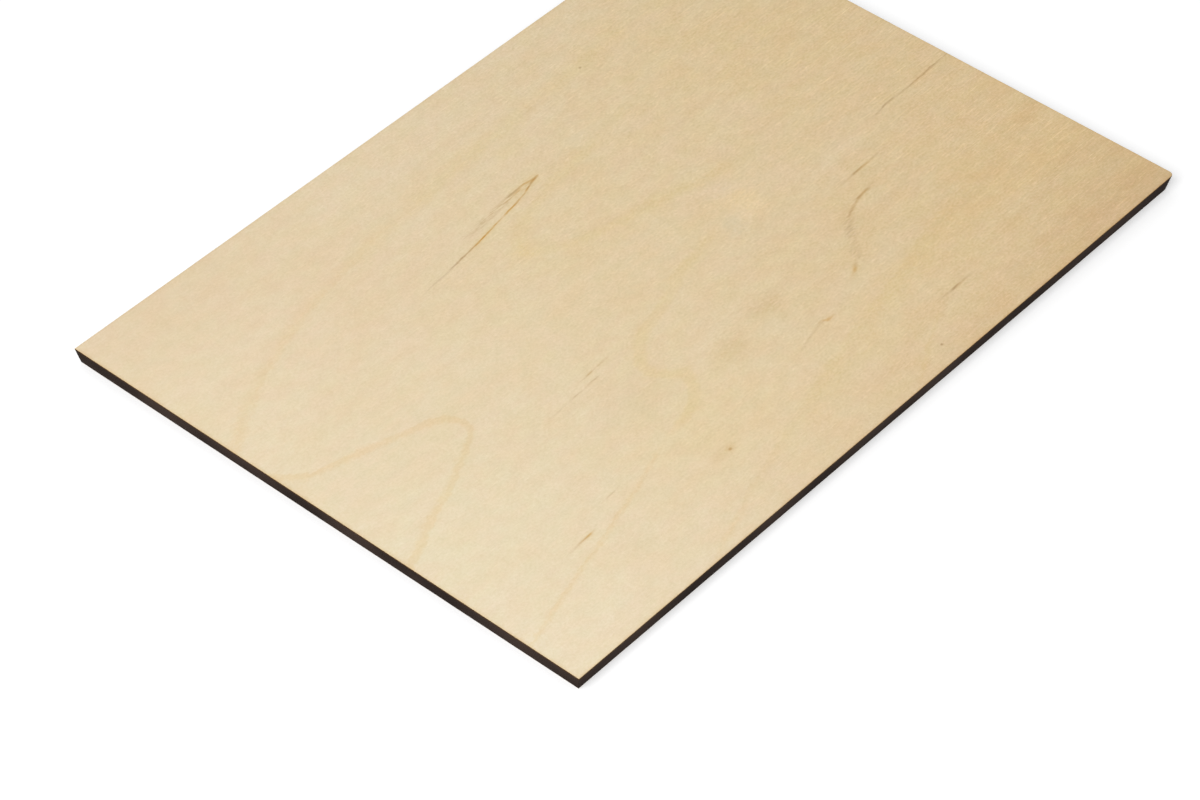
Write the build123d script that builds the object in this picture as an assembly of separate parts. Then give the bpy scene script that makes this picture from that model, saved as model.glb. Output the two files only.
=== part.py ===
from build123d import *
import math
import os

# Sheet of birch plywood in the A4 size, lying flat, with dark cut edges that slope in under the face.
#
# Millimetres. The origin is at the middle of the underside. X runs along the sheet, the way the face
# grain runs, Y runs across it, and Z points up through the thickness.

# Driving dimensions
SHEET_LENGTH = 297.0  # of the upper face, along the grain
SHEET_WIDTH = 210.0  # of the upper face, across the grain
SHEET_THICKNESS = 6.0
EDGE_UNDERCUT = 1.2  # the underside's edge lies this far inside the upper face's edge, all round
WORN_CORNER_RADIUS = 2.0  # one corner has been knocked round, and the other three are sharp


def square_cut_sheet():
    """The sheet as if it had been cut square all round, standing on its underside."""
    on_underside = (Align.CENTER, Align.CENTER, Align.MIN)
    return Box(SHEET_LENGTH, SHEET_WIDTH, SHEET_THICKNESS, align=on_underside)


def slope_edges(sheet):
    """Tilts the four cut sides in under the upper face, which keeps its full size."""
    inward_slope = -math.degrees(math.atan2(EDGE_UNDERCUT, SHEET_THICKNESS))
    cut_sides = sheet.faces().filter_by(Axis.Z, reverse=True)
    upper_face = Plane.XY.offset(SHEET_THICKNESS)
    return draft(cut_sides, upper_face, inward_slope)


def round_corner(sheet, side_x, side_y):
    """Rounds the corner that lies on the given sides, each +1 or -1, from the face to the underside."""
    flat_edges = sheet.edges().filter_by(Plane.XY)
    corner_edges = [edge for edge in sheet.edges() if edge not in flat_edges]
    worn = max(corner_edges, key=lambda edge: side_x * edge.center().X + side_y * edge.center().Y)
    return fillet(worn, WORN_CORNER_RADIUS)


sheet = square_cut_sheet()
sheet = slope_edges(sheet)
sheet = round_corner(sheet, side_x=+1, side_y=-1)

os.makedirs("parts", exist_ok=True)
export_step(sheet, "parts/plywood_sheet.step")
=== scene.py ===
"""Sheet of birch plywood in the A4 size, with a pale sanded face and dark scorched edges."""

import math
from typing import NamedTuple

import bpy
from mathutils import Matrix, Vector, noise


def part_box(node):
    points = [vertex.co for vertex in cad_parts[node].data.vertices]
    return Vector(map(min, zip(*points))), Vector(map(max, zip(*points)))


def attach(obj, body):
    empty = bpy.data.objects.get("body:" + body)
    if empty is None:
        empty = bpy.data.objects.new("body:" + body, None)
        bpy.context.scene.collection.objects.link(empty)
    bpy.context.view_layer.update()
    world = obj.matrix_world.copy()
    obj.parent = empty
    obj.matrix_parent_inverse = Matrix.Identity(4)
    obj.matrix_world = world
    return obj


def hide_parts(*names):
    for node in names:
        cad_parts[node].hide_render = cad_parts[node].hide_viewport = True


# Every length below is in millimetres of the shared frame unless it says otherwise. X runs along the
# grain, Y across it and Z up. Blender's own unit is the metre.
MM = 0.001


class Pattern(NamedTuple):
    """A noise: the length of its features along X and their width along Y, a seed, how fine and how rough
    its detail is, and the two levels that are stretched to 0 and 1, if any."""

    length: float
    width: float
    seed: int
    detail: float = 2.0
    roughness: float = 0.5
    levels: tuple = None


# The camera, worked out from the sheet's outline in the photograph
PHOTO_WIDTH_PX = 1200
FOCAL_LENGTH_PX = 4112
SENSOR_WIDTH = 36.0
CAMERA_TARGET = (-57.0, -33.5, 6.0)  # where the middle of the picture meets the face
CAMERA_DISTANCE = 1272.2
CAMERA_ELEVATION = 44.19  # degrees above the horizon
CAMERA_HEADING = 40.56  # degrees from +X towards +Y, the way the camera looks
CAMERA_ROLL = 0.63  # degrees

# The mesh
COLUMNS = 150  # along the grain
ROWS = 106  # across the grain
GRADING = 1.5  # above 1, columns and rows lie closer together near the edges
ARRIS_RADIUS = 0.15
ARRIS_STEPS = 5
ARRIS_VENEER_STEPS = 2  # of the upper arris, the steps that still show veneer and not char
EDGE_STEPS = 8  # rows down the straight part of the edge
EDGE_RELIEF = 0.05  # how deep the cut wavers
EDGE_RELIEF_LENGTH = 9.0  # along the cut
EDGE_RELIEF_HEIGHT = 4.0  # down the cut
SAME_PLACE = 0.01  # a point this near to a side counts as on it
VENEER, CHAR = 0, 1  # the order of the board's materials

# The face's growth-ring lines. A line runs along one axis, and each point gives the place along it and
# the place across it. "sharp" and "soft" are how far it reaches on its two sides, and "sharp_side" says
# which side ends cleanly. "shows" gives the x where it starts to show, shows in full, starts to fade and
# is gone.
HOOKED_LINE = [
    (-88.1, -154.5), (-81.4, -133.4), (-73.8, -103.8), (-66.3, -77.2), (-59.3, -53.7), (-55, -38.7),
    (-50.4, -33.4), (-45.8, -31.1), (-41.6, -34.6), (-37, -37.6), (-32.5, -36.7), (-27.4, -31.5),
    (-23.7, -25.5), (-19, -9.3), (-13.4, 7.6), (-9.7, 25.2), (-3.8, 46.3)]
BROWN_RINGS = {
    "cathedral at the near end": dict(
        along="Y",
        points=[(-45.2, -160), (-37.1, -145), (-30, -130), (-23, -111.8), (-18, -101.9), (-13.5, -94.3),
                (-10.7, -92.1), (-7.1, -92.2), (-2.9, -94.8), (-0.8, -98.6), (3.5, -112.6), (8.2, -128.4),
                (10.2, -137.2), (13.1, -142.7), (18.3, -147.1), (24.8, -152)],
        sharp=1.4, soft=2.6, sharp_side=+1, strength=1.5, shows=None),
    "upper line": dict(
        along="X",
        points=[(-156, 30.7), (-148.5, 34.8), (-140.2, 38.5), (-131.8, 43.9), (-121, 50.4), (-108.5, 55),
                (-90.2, 61.3), (-68.5, 65.9), (-41.8, 70.5), (-15, 74.1)],
        sharp=1.6, soft=4.5, sharp_side=-1, strength=0.6, shows=(-170, -160, -75, -20)),
    "near end of the upper line": dict(
        along="X",
        points=[(-156, 28.7), (-148.5, 33.7), (-143.8, 36.9), (-137.3, 42.3), (-130.8, 45.9), (-120, 50.7)],
        sharp=2.0, soft=4.4, sharp_side=-1, strength=0.95, shows=(-170, -160, -138, -122)),
    "hooked line": dict(
        along="Y", points=HOOKED_LINE,
        sharp=1.1, soft=1.7, sharp_side=-1, strength=1.0, shows=(-170, -160, -90, -38)),
    "lower line": dict(
        along="X",
        points=[(-95, -107.5), (-83.8, -103.3), (-60.3, -94.7), (-34, -87), (-10, -81.5)],
        sharp=1.2, soft=3.0, sharp_side=+1, strength=0.55, shows=(-95, -85, -55, -15)),
}
OLIVE_RINGS = {
    "upper line, far half": dict(
        along="X",
        points=[(-103.5, 55.9), (-68.5, 64.5), (-41.8, 68.8), (-15, 72), (11.7, 74.5), (53, 77.5),
                (155, 83)],
        sharp=4.5, soft=6.0, sharp_side=-1, strength=0.6, shows=(-80, -30, 60, 140)),
    "inner cathedral": dict(
        along="Y",
        points=[(0, 131), (9, 46), (15.8, 12.7), (20, -7.1), (24.5, -16.2), (29.5, -21.8),
                (34.5, -18.2), (39.5, -9.2), (44.3, 6.9), (48.8, 31), (51.2, 56), (55, 131)],
        sharp=3.5, soft=5.5, sharp_side=-1, strength=0.85, shows=(-40, -30, 30, 90)),
    "hook": dict(
        along="Y", points=HOOKED_LINE,
        sharp=2.4, soft=3.6, sharp_side=-1, strength=1.8, shows=(-58, -36, -10, 45)),
    "lower band": dict(
        along="X",
        points=[(-45, -90), (-20, -83.5), (16.5, -75), (51.5, -67.5), (76.5, -61.3), (101.5, -56.3),
                (126.5, -53.8), (155, -44)],
        sharp=4.0, soft=11.0, sharp_side=+1, strength=0.9, shows=(-50, 0, 70, 130)),
    "corner line": dict(
        along="X",
        points=[(5, -108), (20, -100), (39.5, -89.7), (60, -80)],
        sharp=1.0, soft=1.6, sharp_side=+1, strength=0.7, shows=(10, 22, 38, 52)),
}
PALE_RINGS = {
    "strip below the lower band": dict(
        along="X",
        points=[(-20, -98), (11.5, -91), (31.5, -86.5), (71, -77.5), (100, -71)],
        sharp=2.0, soft=2.5, sharp_side=+1, strength=0.7, shows=(-25, -5, 75, 100)),
}
SLOPE_STEP = 2.0  # how far ahead a line is read to find its slope
CURVE_ROOM = 1.0  # room that a curve keeps above and below its points

# How the ring lines waver, as patterns each with its reach, and how their strength changes along them
RING_WANDER = [(Pattern(12, 6, seed=1), 2.5), (Pattern(2.5, 1.5, seed=2), 2.5)]
RING_CHANGE = Pattern(16, 10, seed=3)
RING_STRENGTH = (0.5, 1.5)

# Dark streaks in the face. Each point is (x, y, how dark, how orange), the last two from 0 to 1. "sway" is
# how far the streak bends about as it runs, and "hatch" how far it is broken into short marks along the
# grain.
STREAKS = {
    "lower arm of the long fork": dict(width=0.33, sway=0.5, hatch=0.4, points=[
        (-60, 39.7, 0.0, 0.0), (-52, 40.7, 0.27, 0.1), (-44.5, 41.4, 0.4, 0.1), (-40, 42.05, 0.85, 0.2),
        (-35, 42.65, 1.0, 0.3), (-30, 43.3, 0.9, 0.7), (-27, 43.7, 1.0, 0.95),
        (-18.5, 45.15, 0.85, 0.9), (-14.5, 45.75, 0.4, 0.9), (-9.5, 46.6, 0.88, 1.0),
        (-4.5, 47.45, 0.85, 0.8), (-2, 47.95, 0.4, 0.9), (3, 49.5, 1.0, 0.65), (6, 50.35, 1.0, 0.6),
        (8.2, 51, 0.8, 0.7), (10, 51.4, 0.0, 0.8)]),
    "upper arm of the long fork": dict(width=0.55, sway=0.5, hatch=0.4, points=[
        (-13, 50.9, 0.0, 0.3), (-7, 51.3, 0.3, 0.3), (-3, 51.3, 0.95, 0.35), (-0.5, 51.45, 0.9, 0.5),
        (2, 51.5, 0.7, 0.8), (4.6, 51.2, 0.65, 0.95), (6.6, 50.8, 0.95, 0.7), (8.2, 51, 0.7, 0.7),
        (9.6, 51.3, 0.0, 0.8)]),
    "tip of the long fork": dict(width=0.55, sway=0.3, hatch=0.0, points=[
        (3.5, 50.1, 0.0, 0.7), (5.5, 50.4, 0.85, 0.7), (7, 50.75, 1.0, 0.7), (8.4, 51.05, 0.5, 0.7),
        (9.6, 51.3, 0.0, 0.8)]),
    "brush behind the upper arm": dict(width=1.4, sway=0.5, hatch=1.0, points=[
        (-35, 46.9, 0.0, 0.4), (-23, 48.5, 0.23, 0.4), (-13, 49.7, 0.37, 0.5), (-5, 50.5, 0.37, 0.7),
        (4, 51, 0.3, 1.0), (9, 51.4, 0.0, 1.0)]),
    "lower of the faint pair": dict(width=0.4, sway=0.7, hatch=0.7, points=[
        (-73.3, -27.6, 0.0, 0.2), (-68.5, -27.2, 0.14, 0.3), (-64.5, -27.05, 0.1, 0.3),
        (-60.5, -26.75, 0.37, 0.4), (-56, -26.6, 0.14, 0.4), (-51.8, -26.25, 0.36, 0.4),
        (-48.3, -26.1, 0.0, 0.3)]),
    "upper of the faint pair": dict(width=0.4, sway=0.7, hatch=0.7, points=[
        (-57.3, -23.75, 0.0, 0.4), (-53.5, -23.55, 0.22, 0.4), (-50.3, -23.25, 0.5, 0.6),
        (-47.3, -23.2, 0.14, 0.6), (-45, -22.95, 0.26, 0.6), (-41.5, -22.7, 0.14, 0.6),
        (-38, -22.4, 0.0, 0.4)]),
    "streak at the far end": dict(width=0.42, sway=1.0, hatch=0.4, points=[
        (104, -13.3, 0.0, 0.1), (107.5, -12.9, 0.33, 0.1), (110.5, -12.55, 0.38, 0.1),
        (113, -11.85, 0.8, 0.1), (116.5, -11.9, 0.55, 0.15), (120.5, -12.2, 0.33, 0.1),
        (126, -12, 0.6, 0.15), (131.5, -11.8, 0.62, 0.35), (138, -11.45, 0.72, 0.2),
        (143, -11.25, 0.46, 0.1), (150, -10.9, 0.36, 0.2)]),
    "short orange streak": dict(width=0.45, sway=0.4, hatch=0.3, points=[
        (67.5, -26.5, 0.0, 0.2), (72.5, -26.35, 0.18, 0.2), (75.8, -26.3, 0.25, 0.2),
        (79, -26, 0.68, 0.35), (81.4, -25.9, 0.86, 0.5), (85, -25.85, 0.58, 0.7),
        (89.5, -25.65, 0.34, 0.3), (93.5, -25.4, 0.0, 0.3)]),
    "top of the bent streak": dict(width=0.6, sway=0.8, hatch=0.4, points=[
        (60, -38.5, 0.0, 0.4), (62.5, -37.2, 0.6, 0.4), (64.8, -36.45, 0.64, 0.5),
        (67, -35.75, 0.4, 0.55), (70.5, -34.6, 0.73, 0.45), (73, -34.25, 0.7, 0.6),
        (77.5, -33.7, 0.3, 0.5), (82, -33.1, 0.0, 0.4)]),
    "middle of the bent streak": dict(width=2.8, sway=1.6, hatch=1.0, points=[
        (46, -53.2, 0.0, 0.1), (48.4, -51, 0.26, 0.1), (50.5, -48.6, 0.12, 0.1),
        (54.5, -43.8, 0.24, 0.1), (57, -41.1, 0.28, 0.1), (59.4, -39.1, 0.28, 0.2),
        (61.5, -37.7, 0.18, 0.3), (64.7, -36.3, 0.0, 0.4)]),
    "foot of the bent streak": dict(width=0.85, sway=0.4, hatch=0.2, points=[
        (36.5, -57.2, 0.0, 1.0), (40.4, -56.2, 0.18, 1.0), (42.5, -55.1, 0.5, 1.0),
        (44.5, -54.1, 0.34, 0.5), (47, -52.4, 0.0, 0.3)]),
    "low streak": dict(width=0.6, sway=0.5, hatch=0.4, points=[
        (0.5, -66.6, 0.0, 0.3), (4.5, -65.5, 0.15, 0.3), (9.5, -64, 0.22, 0.3),
        (12.5, -63.6, 0.16, 0.4), (15.5, -62.7, 0.36, 0.45), (17, -62.9, 0.5, 0.8),
        (18, -63.5, 0.6, 1.0), (20, -63.5, 0.3, 1.0), (22, -62.9, 0.0, 1.0)]),
    "front streak": dict(width=0.5, sway=0.4, hatch=0.3, points=[
        (-114, -69.8, 0.0, 0.3), (-110.5, -69.6, 0.18, 0.3), (-107.7, -69.4, 0.4, 0.5),
        (-105.2, -69.3, 0.62, 0.65), (-103.5, -69.25, 0.72, 0.85), (-101.4, -69.1, 0.28, 1.0),
        (-99.6, -68.9, 0.0, 0.8)]),
    "faint front streak": dict(width=0.35, sway=0.4, hatch=0.6, points=[
        (-91, -63.2, 0.0, 0.3), (-86.8, -62.95, 0.25, 0.4), (-83.5, -62.7, 0.16, 0.3),
        (-80.5, -62.5, 0.0, 0.3)]),
    "right streak": dict(width=0.5, sway=0.3, hatch=0.2, points=[
        (46.7, -84.5, 0.0, 0.1), (51.5, -84.45, 0.23, 0.1), (54.4, -84.6, 0.33, 0.1),
        (56.6, -84.5, 1.0, 0.15), (58.5, -84.4, 0.78, 0.35), (60.6, -84.4, 0.36, 0.45),
        (63, -84.35, 0.28, 0.25), (68, -84.2, 0.0, 0.2)]),
}
STREAK_FADE = 1.6  # how many of its widths a streak takes to fade out
GLOW_REACH = 1.4  # how far a streak's orange glow reaches past the streak
STREAK_WANDER = [(Pattern(9, 3, seed=4), 1.0), (Pattern(2.5, 0.5, seed=16), 0.7)]
STREAK_MARKS = Pattern(4.5, 0.35, seed=5, detail=1.0, levels=(0.38, 0.62))
STREAK_MARK_STRENGTH = 1.5

# Pin knots, each as (x, y, half length, half width, how dark, how orange). The second and the third are the
# halo of the first.
PIN_KNOTS = [
    (-46.9, -77.4, 1.4, 1.1, 1.0, 0.6),
    (-46.7, -77.1, 3.8, 2.6, 0.28, 1.0),
    (-50.5, -76.8, 7.5, 4.0, 0.14, 0.7),
    (33, -97.5, 0.85, 0.7, 1.0, 0.2),
    (59.9, 77.1, 0.9, 0.7, 0.9, 0.2),
]

# Soft patches in the face: a tint, and each patch as (x, y, half length, half width, strength). The broad
# ones shade into the ground, and the small ones are stippled.
BROAD_PATCHES = {
    # The shaded corner is painted shade, darkening the face towards the +X -Y corner.
    "painted shade at the far corner": ((0.92, 0.915, 0.965), [(150, -110, 100, 50, 1.0)]),
    "milky": ((1.015, 1.02, 1.06), [
        (128, -32, 45, 24, 0.9), (-20, 90, 75, 18, 0.9), (75, -15, 60, 20, 0.4)]),
    "ochre": ((0.99, 0.975, 0.91), [
        (-42, -66, 45, 32, 0.9), (108, 56, 90, 58, 0.85), (-10, -98, 60, 12, 0.5), (-10, 20, 85, 55, 0.4)]),
    "grey": ((0.96, 0.945, 0.92), [(-51, -41, 20, 18, 0.8), (-94.7, -81.5, 8, 10, 0.6)]),
    "pink": ((1.0, 0.976, 0.982), [(-85, 55, 75, 48, 0.9)]),
    "green": ((1.0, 1.022, 1.025), [(-125, -42, 55, 40, 0.9)]),
    # Darker towards the rim at the back-left and along the -Y side.
    "darker rims": ((0.97, 0.94, 0.935), [(-120, 112, 80, 55, 1.0), (30, -112, 190, 38, 1.0)]),
}
PATCHES = {
    "olive": ((0.92, 0.885, 0.81), [(-12.3, -49.3, 12, 10, 0.62), (9.8, -45, 12, 9, 0.85)]),
    "ochre": ((0.99, 0.98, 0.90), [
        (8, 76.5, 20, 5, 0.5), (12, 66, 13, 4, 0.5), (72, 82, 24, 6, 0.3), (-92, 14, 14, 8, 0.2),
        (-53, -10, 5, 4, 0.4)]),
    "straw": ((1.01, 1.01, 0.95), [(-22.4, 29.5, 9, 9, 0.7)]),
    "pale": ((1.07, 1.06, 1.03), [
        (44.3, -8, 10, 11, 1.0), (73.5, -47, 14, 6, 0.3), (44.5, -60, 10, 4, 0.3)]),
    "cool": ((0.955, 0.985, 1.035), [(32.8, -15, 8, 8, 0.8)]),
    "milky": ((1.02, 1.02, 1.10), [(42.3, 1, 9, 7, 0.8)]),
    "russet": ((0.97, 0.92, 0.87), [
        (140, -51, 15, 5, 0.7), (115, -58, 13, 5, 0.35), (84, -60.5, 11, 3.5, 0.35), (130, -74, 19, 4, 0.5),
        (95, -82.5, 7, 4, 0.35), (125, -97, 45, 10, 0.5)]),
}

# How the patches' rims are pulled about along and across the grain, and how the stipple goes up and down
PATCH_WANDER_X = [(Pattern(7, 4, seed=6), 8.0)]
PATCH_WANDER_Y = [(Pattern(7, 4, seed=7), 6.0)]
STIPPLE = Pattern(1.6, 1.0, seed=17, detail=3.0, roughness=0.7, levels=(0.25, 0.75))
STIPPLE_STRENGTH = (0.3, 1.7)

# The ground tone runs from the pale colour at 0 to the warm one at 1. It is partly the wood's own tone and
# partly painted light: a painted sheen makes the near end pale, and painted shade makes the far end warm
# and darkest at the +X -Y corner. These give it at the middle of the face, and what is added at the far
# end, at the +Y side and at the corner between them.
TONE_MIDDLE = 0.46
TONE_ALONG = 0.33
TONE_ACROSS = -0.06
TONE_CORNER = -0.17
TONE_WANDER = [(Pattern(45, 24, seed=8, detail=4.0, roughness=0.65), 0.4)]

# Clouds and long bands in the ground. A pair of strengths is for the near end and the far end.
PINK_CLOUDS = Pattern(12, 8, seed=9, detail=3.0, roughness=0.6, levels=(0.34, 0.66))
YELLOW_CLOUDS = Pattern(14, 9, seed=10, detail=3.0, roughness=0.6, levels=(0.34, 0.66))
YELLOW_CLOUD_STRENGTH = (0.5, 1.0)
BANDS = Pattern(90, 7, seed=11, levels=(0.36, 0.66))
BAND_SLOPE = 0.16  # how far a band rises across the grain for each millimetre along it
BANDS_ALONG = (-60, 90)  # the x where the bands start to show and show in full
BANDS_ACROSS = (30, -60)  # and the y

# The fine grain, which opens up towards the far end. Its light specks and light short fibres are partly
# painted glints, white light off the fibres, and their growing towards the far end is partly painted where
# the light rakes. A pair of places gives the x where a thing starts to show and shows in full, and a pair
# of strengths is for the near end and the far end.
GRAIN_OPENS = (-160, 130)
MOTTLE = Pattern(6.0, 4.5, seed=18, detail=3.0, roughness=0.75, levels=(0.25, 0.75))
MOTTLE_STRENGTH = (0.28, 0.42)
SPECKS = Pattern(1.0, 0.9, seed=14, roughness=0.8, levels=(0.25, 0.75))
SPECK_STRENGTH = (0.32, 0.56)
LONG_FIBRES = Pattern(11.0, 0.55, seed=19, roughness=0.6, levels=(0.3, 0.7))
LONG_FIBRES_SHOW = (10, 190)
HAIRS = Pattern(15.0, 0.7, seed=20, detail=1.0, levels=(0.6, 0.72))
HAIRS_SHOW = (20, 150)
FIBRES = Pattern(4.0, 0.4, seed=12, detail=1.0, levels=(0.58, 0.74))
PORES = Pattern(3.5, 0.26, seed=13, detail=1.0, levels=(0.58, 0.78))
FIBRE_STRENGTH = (0.2, 0.8)  # the pores' too

# How strongly the cut has browned the veneer at the +X and +Y sides, and at the -X and -Y sides. How far
# in the browning reaches changes along the cut.
FAR_SCORCH = 0.5
NEAR_SCORCH = 1.0
SCORCH_CHANGE = Pattern(5, 5, seed=15)
SCORCH_REACH = (0.05, 0.85)

# The char on the cut: large patches and fine lines down it
CHAR_PATCHES = Pattern(30, 25, seed=1, detail=3.0)
CHAR_LINES = Pattern(0.5, 9, seed=2)
CHAR_LINE_SHARE = 0.15  # of its tone that comes from the lines
CHAR_LEVELS = (0.34, 0.66)  # the tones that show as the dark colour and as the light one
CHAR_BROWN_DEPTH = 1.1  # how far down from the upper face the cut is browner

# The two surfaces: roughness off and on the fibres or lines, and the strength and height of their relief
VENEER_ROUGHNESS = (0.45, 0.57)
VENEER_RELIEF = (0.25, 0.05)
CHAR_ROUGHNESS = (0.6, 0.8)
CHAR_RELIEF = (0.3, 0.1)
CHAR_SHINE = 0.03

# Linear colours
# The ground's two colours are partly the wood's own and partly painted light: sheen on the pale, shade on
# the warm.
BIRCH_PALE_AND_SHEEN = (0.82, 0.70, 0.49)
BIRCH_WARM_AND_SHADE = (0.735, 0.53, 0.26)
PINK_CLOUD = (1.01, 0.984, 0.987)
GREEN_CLOUD = (0.995, 1.009, 1.005)
YELLOW_CLOUD = (0.996, 0.987, 0.955)
BLUE_CLOUD = (1.004, 1.010, 1.042)
BAND_TINT = (0.975, 0.968, 0.955)
RING_BROWN = (0.978, 0.937, 0.858)
RING_OLIVE = (0.98, 0.967, 0.89)
RING_PALE = (1.02, 1.022, 1.035)
# Partly painted glints: the light short fibres here and the specks' light side below.
FIBRE_LIGHT_AND_GLINT = (1.16, 1.18, 1.28)
PORE_TINT = (0.87, 0.85, 0.77)
LONG_FIBRE_DARK = (0.967, 0.963, 0.95)
LONG_FIBRE_LIGHT = (1.033, 1.037, 1.05)
HAIR_TINT = (1.10, 1.11, 1.13)
SPECK_DARK = (0.885, 0.863, 0.74)
SPECK_LIGHT_AND_GLINT = (1.115, 1.137, 1.26)
MOTTLE_DARK = (0.905, 0.89, 0.85)
MOTTLE_LIGHT = (1.095, 1.11, 1.15)
GREY_STREAK = (0.55, 0.46, 0.39)
ORANGE_STREAK = (0.72, 0.46, 0.08)
ORANGE_GLOW = (0.99, 0.955, 0.84)
SCORCH = (0.82, 0.70, 0.50)
CHAR_DARK = (0.020, 0.0125, 0.0095)
CHAR_LIGHT = (0.046, 0.0295, 0.023)
SCORCHED_PLY = (0.085, 0.043, 0.018)

# The studio
WORLD_LEVEL = 0.53
SOFTBOX_SIZE = 900.0
SOFTBOX_DISTANCE = 1500.0
SOFTBOX_HEADING = 195.0  # degrees from +X towards +Y
SOFTBOX_ELEVATION = 45.0
SOFTBOX_WATTS = 14.0
FLOOR_SIZE = 8000.0
FLOOR_GAP = 0.2  # keeps the floor clear of the underside
FLOOR_COLOUR = (0.82, 0.82, 0.82)
FLOOR_LIFT = 0.34  # added where the camera sees the floor, so that it shows white


class Graph:
    """Makes one material's nodes. A value given to it may be a plain number or another node's output."""

    def __init__(self, name):
        self.material = bpy.data.materials.new(name)
        self.material.use_nodes = True
        self.tree = self.material.node_tree
        self.shader = self.tree.nodes["Principled BSDF"]

    def node(self, kind, **settings):
        made = self.tree.nodes.new("ShaderNode" + kind)
        for name, value in settings.items():
            setattr(made, name, value)
        return made

    def put(self, socket, value):
        if isinstance(value, bpy.types.NodeSocket):
            self.tree.links.new(value, socket)
        else:
            socket.default_value = value

    def math(self, operation, a, b=0.0):
        made = self.node("Math", operation=operation)
        self.put(made.inputs[0], a)
        self.put(made.inputs[1], b)
        return made.outputs[0]

    def add(self, a, b):
        return self.math("ADD", a, b)

    def less(self, a, b):
        return self.math("SUBTRACT", a, b)

    def times(self, a, b):
        return self.math("MULTIPLY", a, b)

    def over(self, a, b):
        return self.math("DIVIDE", a, b)

    def most(self, values):
        """The largest of several values."""
        largest = values[0]
        for value in values[1:]:
            largest = self.math("MAXIMUM", largest, value)
        return largest

    def fade(self, value, start, end):
        """Goes smoothly from 0 at start to 1 at end."""
        made = self.node("MapRange", interpolation_type="SMOOTHSTEP")
        self.put(made.inputs["Value"], value)
        made.inputs["From Min"].default_value = start
        made.inputs["From Max"].default_value = end
        return made.outputs["Result"]

    def vector(self, x, y, z):
        made = self.node("CombineXYZ")
        for socket, value in zip(made.inputs, (x, y, z)):
            self.put(socket, value)
        return made.outputs[0]

    def between(self, value, ends):
        """Goes from the first of the two ends, where value is 0, to the second, where it is 1."""
        start, end = ends
        return self.add(self.times(value, end - start), start)

    def pattern(self, place, kind):
        """A pattern, from 0 to 1 about a middle of 0.5."""
        stretched = self.node("VectorMath", operation="MULTIPLY_ADD")
        self.put(stretched.inputs[0], place)
        stretched.inputs[1].default_value = (1 / kind.length, 1 / kind.width, 0.0)
        stretched.inputs[2].default_value = (0.0, 0.0, kind.seed)
        made = self.node("TexNoise")
        self.put(made.inputs["Vector"], stretched.outputs[0])
        made.inputs["Scale"].default_value = 1.0
        made.inputs["Detail"].default_value = kind.detail
        made.inputs["Roughness"].default_value = kind.roughness
        if kind.levels is None:
            return made.outputs["Fac"]
        return self.fade(made.outputs["Fac"], *kind.levels)

    def wander(self, place, parts):
        """The sum of patterns about 0, each mostly within a third of its reach to both sides."""
        total = 0.0
        for kind, reach in parts:
            waver = self.times(self.add(self.pattern(place, kind), -0.5), reach)
            total = self.add(waver, total)
        return total

    def mix(self, factor, a, b, blend="MIX"):
        made = self.node("Mix", data_type="RGBA", blend_type=blend)
        for socket, value in zip((made.inputs[0], made.inputs[6], made.inputs[7]), (factor, a, b)):
            if isinstance(value, tuple):
                value = (*value, 1.0)
            self.put(socket, value)
        return made.outputs[2]

    def tint(self, colour, factor, by):
        """Multiplies a colour by another as far as factor says."""
        return self.mix(factor, colour, by, "MULTIPLY")

    def curves(self, value, rows):
        """Reads three smooth curves at value. Each row is (place, first curve, second, third), and every
        curve is kept within 0 to 1, so the places and the values come scaled to that."""
        made = self.node("RGBCurve")
        for curve, column in zip(made.mapping.curves, (1, 2, 3)):
            set_curve(curve, [(row[0], row[column]) for row in rows])
        made.mapping.extend = "HORIZONTAL"
        made.mapping.update()
        grey = self.node("CombineColor")
        for socket in grey.inputs:
            self.put(socket, value)
        self.put(made.inputs["Color"], grey.outputs[0])
        split = self.node("SeparateColor")
        self.put(split.inputs[0], made.outputs[0])
        return split.outputs

    def curve(self, value, points):
        """Reads one smooth curve through these points at value."""
        first, last = points[0][0], points[-1][0]
        low, high = reach_of([p[1] for p in points])
        rows = [(scaled(p[0], first, last), scaled(p[1], low, high)) for p in points]
        made = self.node("FloatCurve")
        set_curve(made.mapping.curves[0], rows)
        made.mapping.update()
        self.put(made.inputs["Value"], self.over(self.add(value, -first), last - first))
        return self.add(self.times(made.outputs[0], high - low), low)

    def bump(self, height, strength, distance):
        """Gives the surface a relief, distance being how many millimetres a height of 1 stands for."""
        made = self.node("Bump")
        made.inputs["Strength"].default_value = strength
        made.inputs["Distance"].default_value = distance * MM
        self.put(made.inputs["Height"], height)
        self.put(self.shader.inputs["Normal"], made.outputs[0])


def set_curve(curve, points):
    """Gives a curve these points in place of its own."""
    while len(curve.points) < len(points):
        curve.points.new(0.5, 0.5)
    for point, place in zip(curve.points, points):
        point.location = place
        point.handle_type = "AUTO_CLAMPED"


def scaled(value, low, high):
    """Where value lies between low, which gives 0, and high, which gives 1."""
    return (value - low) / (high - low)


def reach_of(values):
    """The lowest and the highest value, with some room to spare."""
    return min(values) - CURVE_ROOM, max(values) + CURVE_ROOM


def place_in_mm(graph):
    """The place on the sheet in millimetres, as its three parts."""
    coordinates = graph.node("TexCoord")
    millimetres = graph.node("VectorMath", operation="MULTIPLY")
    graph.put(millimetres.inputs[0], coordinates.outputs["Object"])
    millimetres.inputs[1].default_value = (1 / MM,) * 3
    split = graph.node("SeparateXYZ")
    graph.put(split.inputs[0], millimetres.outputs[0])
    return split.outputs


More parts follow.
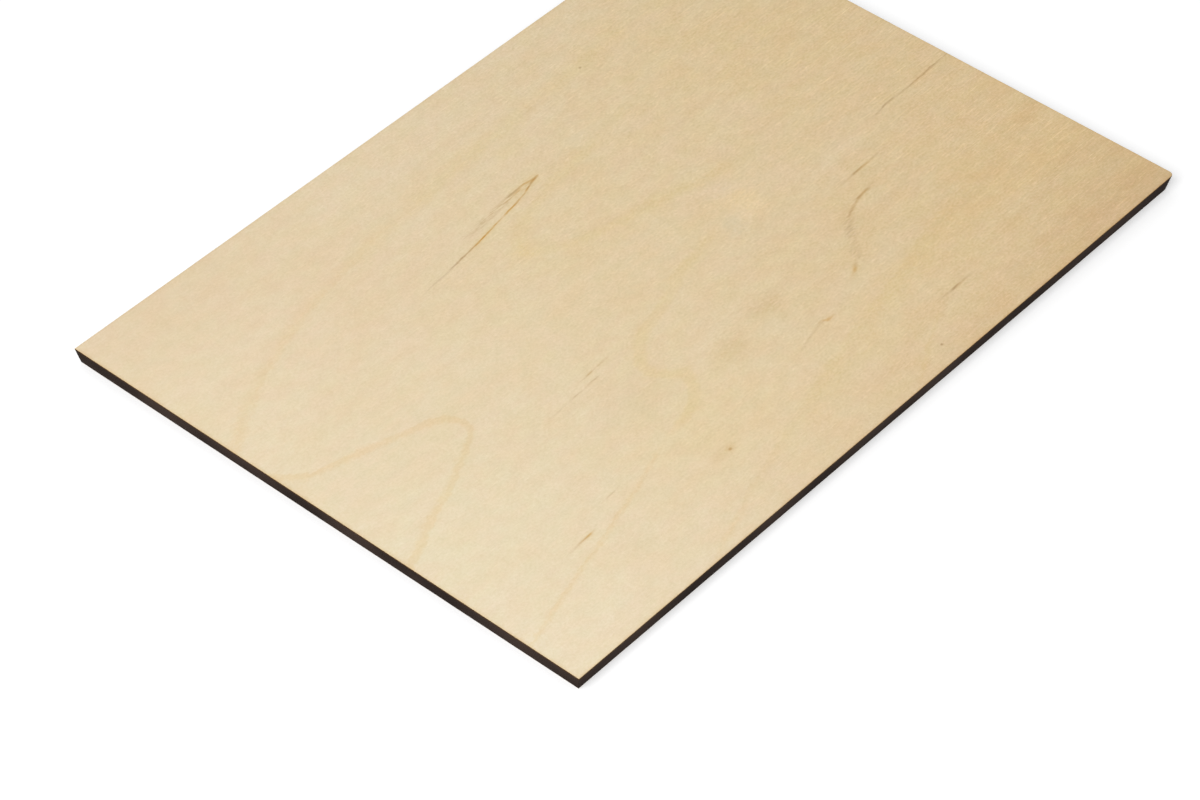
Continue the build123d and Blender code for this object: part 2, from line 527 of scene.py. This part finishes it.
def ring_line(graph, x, y, wander, along, points, sharp, soft, sharp_side, strength, shows):
    """How strongly one growth-ring line shows at each place."""
    run, across = (x, y) if along == "X" else (y, x)
    centre = graph.curve(run, points)
    slope = graph.over(graph.less(graph.curve(graph.add(run, SLOPE_STEP), points), centre), SLOPE_STEP)
    stretch = graph.math("SQRT", graph.add(graph.times(slope, slope), 1.0))
    offset = graph.add(graph.over(graph.less(across, centre), stretch), wander)
    offset = graph.times(offset, sharp_side)
    line = graph.times(graph.fade(offset, sharp, 0.0), graph.fade(offset, -soft, 0.0))
    if shows:
        line = graph.times(line, graph.fade(x, shows[0], shows[1]))
        line = graph.times(line, graph.fade(x, shows[3], shows[2]))
    return graph.times(line, strength)


def rings(graph, colour, place, x, y, stipple):
    """Lays the growth-ring lines in, each wavering and now stronger, now fainter."""
    wander = graph.wander(place, RING_WANDER)
    strength = graph.times(graph.between(graph.pattern(place, RING_CHANGE), RING_STRENGTH), stipple)
    for by, group in ((RING_BROWN, BROWN_RINGS), (RING_OLIVE, OLIVE_RINGS), (RING_PALE, PALE_RINGS)):
        lines = [ring_line(graph, x, y, wander, **line) for line in group.values()]
        colour = graph.tint(colour, graph.times(graph.most(lines), strength), by)
    return colour


def streak(graph, x, y, bend, marks, width, sway, hatch, points):
    """How dark one streak is, the part of that which is orange, and the orange glow about it."""
    first, last = points[0][0], points[-1][0]
    low, high = reach_of([p[1] for p in points])
    rows = [(scaled(p[0], first, last), scaled(p[1], low, high), p[2], p[3]) for p in points]
    centre, dark, orange = graph.curves(graph.over(graph.add(x, -first), last - first), rows)
    centre = graph.add(graph.times(centre, high - low), low)
    offset = graph.less(graph.add(y, graph.times(bend, sway)), centre)
    offset = graph.math("ABSOLUTE", offset)
    reach = STREAK_FADE * width
    glow = graph.times(graph.times(dark, orange), graph.fade(offset, reach + GLOW_REACH, 0.0))
    dark = graph.times(dark, graph.fade(offset, reach, 0.0))
    dark = graph.times(dark, graph.add(graph.times(marks, hatch), 1.0 - hatch))
    return dark, graph.times(dark, orange), glow


def spot(graph, x, y, middle_x, middle_y, half_length, half_width):
    """1 in the middle of a spot, falling smoothly to 0 at its rim."""
    along = graph.over(graph.add(x, -middle_x), half_length)
    across = graph.over(graph.add(y, -middle_y), half_width)
    square = graph.add(graph.times(along, along), graph.times(across, across))
    return graph.fade(graph.math("SQRT", square), 1.0, 0.0)


def dark_marks(graph, place, x, y):
    """How dark the streaks and pin knots are, the part of that which is orange, and the glow about it."""
    bend = graph.wander(place, STREAK_WANDER)
    marks = graph.times(graph.pattern(place, STREAK_MARKS), STREAK_MARK_STRENGTH)
    dark_parts = []
    orange_parts = []
    glow_parts = []
    for values in STREAKS.values():
        dark, orange, glow = streak(graph, x, y, bend, marks, **values)
        dark_parts.append(dark)
        orange_parts.append(orange)
        glow_parts.append(glow)
    for middle_x, middle_y, half_length, half_width, how_dark, how_orange in PIN_KNOTS:
        dark = graph.times(spot(graph, x, y, middle_x, middle_y, half_length, half_width), how_dark)
        dark_parts.append(dark)
        orange_parts.append(graph.times(dark, how_orange))
    return graph.most(dark_parts), graph.most(orange_parts), graph.most(glow_parts)


def patches(graph, colour, x, y, groups, strength):
    """Lays soft patches in, each group with its own tint."""
    for by, spots in groups.values():
        parts = []
        for middle_x, middle_y, half_length, half_width, share in spots:
            parts.append(graph.times(spot(graph, x, y, middle_x, middle_y, half_length, half_width), share))
        colour = graph.tint(colour, graph.times(graph.most(parts), strength), by)
    return colour


def broad_tone(graph, place, x, y, sheet):
    """The ground: paler at the near end and warmer at the far end, with faint clouds and long bands. The
    pale near end is partly a painted sheen, and the warm far end partly painted shade.
    """
    along = graph.over(x, sheet["half_length"])
    across = graph.over(y, sheet["half_width"])
    tone = graph.add(graph.times(across, TONE_ACROSS), TONE_MIDDLE)
    tone = graph.add(tone, graph.times(along, TONE_ALONG))
    tone = graph.add(tone, graph.times(graph.times(along, across), TONE_CORNER))
    tone = graph.add(tone, graph.wander(place, TONE_WANDER))
    # The pale end is partly a painted sheen and the warm end partly painted shade.
    colour = graph.mix(tone, BIRCH_PALE_AND_SHEEN, BIRCH_WARM_AND_SHADE)

    pink = graph.pattern(place, PINK_CLOUDS)
    colour = graph.tint(colour, 1.0, graph.mix(pink, GREEN_CLOUD, PINK_CLOUD))
    yellow = graph.pattern(place, YELLOW_CLOUDS)
    clouded = graph.between(graph.fade(x, *GRAIN_OPENS), YELLOW_CLOUD_STRENGTH)
    colour = graph.tint(colour, clouded, graph.mix(yellow, BLUE_CLOUD, YELLOW_CLOUD))

    rising = graph.vector(x, graph.less(y, graph.times(x, BAND_SLOPE)), 0.0)
    shown = graph.times(graph.fade(x, *BANDS_ALONG), graph.fade(y, *BANDS_ACROSS))
    return graph.tint(colour, graph.times(graph.pattern(rising, BANDS), shown), BAND_TINT)


def fine_grain(graph, colour, place, x):
    """Mottling, specks, long fibres, light hairs, short fibres and pores. The specks' light side and the
    light short fibres are partly painted glints. Gives the short fibres too.
    """
    openness_and_glint = graph.fade(x, *GRAIN_OPENS)
    mottle = graph.mix(graph.pattern(place, MOTTLE), MOTTLE_DARK, MOTTLE_LIGHT)
    colour = graph.tint(colour, graph.between(openness_and_glint, MOTTLE_STRENGTH), mottle)
    # The specks' light side is partly a painted glint off the fibres.
    specks = graph.mix(graph.pattern(place, SPECKS), SPECK_DARK, SPECK_LIGHT_AND_GLINT)
    colour = graph.tint(colour, graph.between(openness_and_glint, SPECK_STRENGTH), specks)
    long_fibres = graph.mix(graph.pattern(place, LONG_FIBRES), LONG_FIBRE_DARK, LONG_FIBRE_LIGHT)
    colour = graph.tint(colour, graph.fade(x, *LONG_FIBRES_SHOW), long_fibres)
    hairs = graph.times(graph.pattern(place, HAIRS), graph.fade(x, *HAIRS_SHOW))
    colour = graph.tint(colour, hairs, HAIR_TINT)
    fibres = graph.pattern(place, FIBRES)
    pores = graph.pattern(place, PORES)
    shown = graph.between(openness_and_glint, FIBRE_STRENGTH)
    # The light short fibres are partly painted glints, stronger where the grain opens.
    colour = graph.tint(colour, graph.times(fibres, shown), FIBRE_LIGHT_AND_GLINT)
    colour = graph.tint(colour, graph.times(pores, shown), PORE_TINT)
    return colour, fibres


def scorched(graph, colour, place, x, y, sheet):
    """Browns the veneer in a thin, uneven line along the cut."""
    reach = graph.between(graph.pattern(place, SCORCH_CHANGE), SCORCH_REACH)
    lines = []
    for side, strength in ((+1, FAR_SCORCH), (-1, NEAR_SCORCH)):
        inside_x = graph.less(sheet["half_length"], graph.times(x, side))
        inside_y = graph.less(sheet["half_width"], graph.times(y, side))
        inside = graph.math("MINIMUM", inside_x, inside_y)
        line = graph.math("EXPONENT", graph.over(graph.times(inside, -1.0), reach))
        lines.append(graph.times(line, strength))
    return graph.tint(colour, graph.most(lines), SCORCH)


def birch_face(sheet):
    """Sanded birch veneer: its tone, rings, patches, grain, streaks and pin knots, and the scorch at the
    cut. The underside has the same veneer turned end for end, without the dark marks."""
    graph = Graph("birch_veneer")
    x, y, z = place_in_mm(graph)
    upper = graph.math("GREATER_THAN", z, sheet["thickness"] / 2)
    turn = graph.less(graph.times(upper, 2.0), 1.0)
    x = graph.times(x, turn)
    y = graph.times(y, turn)
    place = graph.vector(x, y, 0.0)

    colour = broad_tone(graph, place, x, y, sheet)
    stipple = graph.between(graph.pattern(place, STIPPLE), STIPPLE_STRENGTH)
    colour = rings(graph, colour, place, x, y, stipple)
    pulled_x = graph.add(x, graph.wander(place, PATCH_WANDER_X))
    pulled_y = graph.add(y, graph.wander(place, PATCH_WANDER_Y))
    colour = patches(graph, colour, pulled_x, pulled_y, BROAD_PATCHES, 1.0)
    colour = patches(graph, colour, pulled_x, pulled_y, PATCHES, stipple)
    colour, fibres = fine_grain(graph, colour, place, x)
    dark, orange, glow = [graph.times(mark, upper) for mark in dark_marks(graph, place, x, y)]
    colour = graph.tint(colour, glow, ORANGE_GLOW)
    colour = graph.tint(colour, graph.less(dark, orange), GREY_STREAK)
    colour = graph.tint(colour, orange, ORANGE_STREAK)
    colour = scorched(graph, colour, place, x, y, sheet)

    graph.put(graph.shader.inputs["Base Color"], colour)
    graph.put(graph.shader.inputs["Roughness"], graph.between(fibres, VENEER_ROUGHNESS))
    graph.bump(fibres, *VENEER_RELIEF)
    return graph.material


def charred_edge(sheet):
    """The cut itself: matt brown-black char, patchy along it, lined down it and browner at the top."""
    graph = Graph("charred_edge")
    x, y, z = place_in_mm(graph)
    place = graph.vector(graph.add(x, y), z, 0.0)
    patchy = graph.pattern(place, CHAR_PATCHES)
    lines = graph.pattern(place, CHAR_LINES)
    tone = graph.add(graph.times(patchy, 1.0 - CHAR_LINE_SHARE), graph.times(lines, CHAR_LINE_SHARE))
    colour = graph.mix(graph.fade(tone, *CHAR_LEVELS), CHAR_DARK, CHAR_LIGHT)
    top = graph.fade(z, sheet["thickness"] - CHAR_BROWN_DEPTH, sheet["thickness"])
    colour = graph.mix(top, colour, SCORCHED_PLY)
    graph.put(graph.shader.inputs["Base Color"], colour)
    graph.put(graph.shader.inputs["Roughness"], graph.between(lines, CHAR_ROUGHNESS))
    graph.shader.inputs["Specular IOR Level"].default_value = CHAR_SHINE
    graph.bump(lines, *CHAR_RELIEF)
    return graph.material


def measure(node):
    """The CAD sheet's half sizes, its undercut and its worn corner, in millimetres."""
    _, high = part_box("plywood_sheet")
    points = [vertex.co / MM for vertex in node.data.vertices]
    half_length, half_width, thickness = (high.x / MM, high.y / MM, high.z / MM)
    underside = [p for p in points if p.z < thickness / 2]
    upper_front = [p for p in points if p.z > thickness / 2 and p.y < -half_width + SAME_PLACE]
    return dict(
        half_length=half_length, half_width=half_width, thickness=thickness,
        undercut=half_length - max(p.x for p in underside),
        corner=half_length - max(p.x for p in upper_front))


def graded(count, half):
    """Places from -half to +half, closer together towards both ends."""
    steps = [2 * i / count - 1 for i in range(count + 1)]
    return [math.copysign(half * (1 - (1 - abs(step)) ** GRADING), step) for step in steps]


def edge_profile(sheet):
    """Down the cut from the upper face to the underside: how far in and how far down each row lies."""
    slope = math.atan2(sheet["undercut"], sheet["thickness"])
    run = sheet["undercut"] / sheet["thickness"]
    depth = sheet["thickness"]

    def arris(middle_depth, start, end):
        middle_inset = run * middle_depth + ARRIS_RADIUS / math.cos(slope)
        for step in range(ARRIS_STEPS + 1):
            turn = start + (end - start) * step / ARRIS_STEPS
            yield middle_inset - ARRIS_RADIUS * math.sin(turn), middle_depth - ARRIS_RADIUS * math.cos(turn)

    side = math.pi / 2 + slope
    upper = list(arris(ARRIS_RADIUS, 0.0, side))
    lower = list(arris(depth - ARRIS_RADIUS, side, math.pi))
    straight = []
    for step in range(1, EDGE_STEPS):
        part = step / EDGE_STEPS
        straight.append(tuple(a + (b - a) * part for a, b in zip(upper[-1], lower[0])))
    return upper + straight + lower


def rounded(x, y, half_length, half_width, radius):
    """Bends the square corner at +X -Y into a round one."""
    u = (x - half_length + radius) / radius
    v = (-y - half_width + radius) / radius
    if u <= 0 or v <= 0:
        return x, y
    across = u * math.sqrt(1 - v * v / 2)
    down = v * math.sqrt(1 - u * u / 2)
    return half_length - radius + across * radius, -(half_width - radius + down * radius)


def placed(sheet, x, y, inset, depth):
    """A point of the board in metres: a place on the sheet, drawn in by inset and lowered by depth."""
    half_length = sheet["half_length"] - inset
    half_width = sheet["half_width"] - inset
    x, y = rounded(
        x * half_length / sheet["half_length"], y * half_width / sheet["half_width"],
        half_length, half_width, sheet["corner"])
    return x * MM, y * MM, (sheet["thickness"] - depth) * MM


def cut_row(sheet, rim_places, inset, depth):
    """One row of points round the cut, with its relief."""
    row = []
    for x, y in rim_places:
        place = Vector(((x + y) / EDGE_RELIEF_LENGTH, depth / EDGE_RELIEF_HEIGHT, 0.0))
        relief = EDGE_RELIEF * (0.5 + 0.5 * noise.noise(place))
        row.append(placed(sheet, x, y, inset + relief, depth))
    return row


def rim(grid):
    """Once round the outside of a grid."""
    front = [grid[i][0] for i in range(COLUMNS)]
    right = [grid[COLUMNS][j] for j in range(ROWS)]
    back = [grid[i][ROWS] for i in range(COLUMNS, 0, -1)]
    left = [grid[0][j] for j in range(ROWS, 0, -1)]
    return front + right + back + left


def numbered(points, more):
    """Adds more points to the list and gives their numbers in it."""
    first = len(points)
    points.extend(more)
    return list(range(first, len(points)))


def board_points(sheet):
    """The board's points, and their numbers on the upper face, the underside and each row of the cut."""
    xs = graded(COLUMNS, sheet["half_length"])
    ys = graded(ROWS, sheet["half_width"])
    profile = edge_profile(sheet)
    points = []
    grids = []
    for inset, depth in (profile[0], profile[-1]):
        grids.append([numbered(points, [placed(sheet, x, y, inset, depth) for y in ys]) for x in xs])
    upper, under = grids
    rim_places = rim([[(x, y) for y in ys] for x in xs])
    cut = [numbered(points, cut_row(sheet, rim_places, inset, depth)) for inset, depth in profile[1:-1]]
    return points, upper, under, [rim(upper)] + cut + [rim(under)]


def board_faces(upper, under, rows):
    """The board's faces, and which material each has."""
    faces = []
    kinds = []
    for i in range(COLUMNS):
        for j in range(ROWS):
            corners = [(i, j), (i + 1, j), (i + 1, j + 1), (i, j + 1)]
            faces.append([upper[a][b] for a, b in corners])
            faces.append([under[a][b] for a, b in reversed(corners)])
            kinds += [VENEER, VENEER]
    for step, (above, below) in enumerate(zip(rows, rows[1:])):
        kind = VENEER if step < ARRIS_VENEER_STEPS else CHAR
        for k in range(len(above)):
            faces.append([above[k - 1], below[k - 1], below[k], above[k]])
            kinds.append(kind)
    return faces, kinds


def build_board(sheet, materials):
    """One closed mesh: the upper face, the cut with its softened arrises, and the underside."""
    points, upper, under, rows = board_points(sheet)
    faces, kinds = board_faces(upper, under, rows)
    mesh = bpy.data.meshes.new("birch_board")
    mesh.from_pydata(points, [], faces)
    for material in materials:
        mesh.materials.append(material)
    mesh.polygons.foreach_set("material_index", kinds)
    mesh.shade_smooth()
    mesh.validate()
    board = bpy.data.objects.new("birch_board", mesh)
    bpy.context.scene.collection.objects.link(board)
    return board


def from_angles(heading, elevation):
    """The unit vector that points that way."""
    turn, rise = math.radians(heading), math.radians(elevation)
    return Vector((math.cos(turn) * math.cos(rise), math.sin(turn) * math.cos(rise), math.sin(rise)))


def add_camera():
    data = bpy.data.cameras.new("camera")
    data.sensor_width = SENSOR_WIDTH
    data.lens = SENSOR_WIDTH * FOCAL_LENGTH_PX / PHOTO_WIDTH_PX
    camera = bpy.data.objects.new("camera", data)
    looking = from_angles(CAMERA_HEADING, -CAMERA_ELEVATION)
    place = Vector(CAMERA_TARGET) - looking * CAMERA_DISTANCE
    turn = looking.to_track_quat("-Z", "Y").to_matrix().to_4x4()
    roll = Matrix.Rotation(math.radians(CAMERA_ROLL), 4, "Z")
    camera.matrix_world = Matrix.Translation(place * MM) @ turn @ roll
    bpy.context.scene.collection.objects.link(camera)
    bpy.context.scene.camera = camera


def add_softbox():
    data = bpy.data.lights.new("softbox", "AREA")
    data.shape = "SQUARE"
    data.size = SOFTBOX_SIZE * MM
    data.energy = SOFTBOX_WATTS
    light = bpy.data.objects.new("softbox", data)
    towards = from_angles(SOFTBOX_HEADING, SOFTBOX_ELEVATION)
    turn = (-towards).to_track_quat("-Z", "Y").to_matrix().to_4x4()
    light.matrix_world = Matrix.Translation(towards * SOFTBOX_DISTANCE * MM) @ turn
    bpy.context.scene.collection.objects.link(light)


def seen_directly(tree):
    """1 for the camera's rays and for mirror and clear rays, and 0 for the rays that only carry light."""
    path = tree.nodes.new("ShaderNodeLightPath")
    total = path.outputs["Is Camera Ray"]
    for name in ("Is Glossy Ray", "Is Transmission Ray"):
        either = tree.nodes.new("ShaderNodeMath")
        either.operation = "MAXIMUM"
        tree.links.new(total, either.inputs[0])
        tree.links.new(path.outputs[name], either.inputs[1])
        total = either.outputs[0]
    return total


def light_world():
    """An even white surround, which lights the sheet softly and shows as plain white."""
    world = bpy.data.worlds.new("studio")
    bpy.context.scene.world = world
    world.use_nodes = True
    tree = world.node_tree
    level = tree.nodes.new("ShaderNodeMapRange")
    level.inputs["To Min"].default_value = WORLD_LEVEL
    level.inputs["To Max"].default_value = 1.0
    tree.links.new(seen_directly(tree), level.inputs["Value"])
    background = tree.nodes["Background"]
    background.inputs["Color"].default_value = (1.0, 1.0, 1.0, 1.0)
    tree.links.new(level.outputs["Result"], background.inputs["Strength"])


def add_floor():
    """A plain pale floor that keeps the sheet's shadow and shows white away from it."""
    graph = Graph("floor")
    graph.shader.inputs["Base Color"].default_value = (*FLOOR_COLOUR, 1.0)
    graph.shader.inputs["Roughness"].default_value = 1.0
    graph.shader.inputs["Specular IOR Level"].default_value = 0.0
    graph.shader.inputs["Emission Color"].default_value = (1.0, 1.0, 1.0, 1.0)
    lift = graph.times(seen_directly(graph.tree), FLOOR_LIFT)
    graph.put(graph.shader.inputs["Emission Strength"], lift)
    half = FLOOR_SIZE / 2
    height = -FLOOR_GAP
    corners = [(-half, -half, height), (half, -half, height), (half, half, height), (-half, half, height)]
    mesh = bpy.data.meshes.new("floor")
    mesh.from_pydata([Vector(corner) * MM for corner in corners], [], [(0, 1, 2, 3)])
    mesh.materials.append(graph.material)
    floor = bpy.data.objects.new("floor", mesh)
    bpy.context.scene.collection.objects.link(floor)


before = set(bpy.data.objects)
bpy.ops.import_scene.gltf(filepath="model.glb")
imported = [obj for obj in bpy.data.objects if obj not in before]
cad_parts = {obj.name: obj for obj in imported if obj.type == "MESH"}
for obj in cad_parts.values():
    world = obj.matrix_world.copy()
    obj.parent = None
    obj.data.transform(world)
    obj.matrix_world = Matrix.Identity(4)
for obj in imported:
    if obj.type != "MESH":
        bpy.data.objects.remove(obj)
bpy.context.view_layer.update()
add_camera()
light_world()
add_softbox()
add_floor()
sheet = measure(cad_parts["plywood_sheet"])
board = build_board(sheet, [birch_face(sheet), charred_edge(sheet)])
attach(board, "root")
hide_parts("plywood_sheet")
bpy.context.scene.view_settings.view_transform = "Standard"
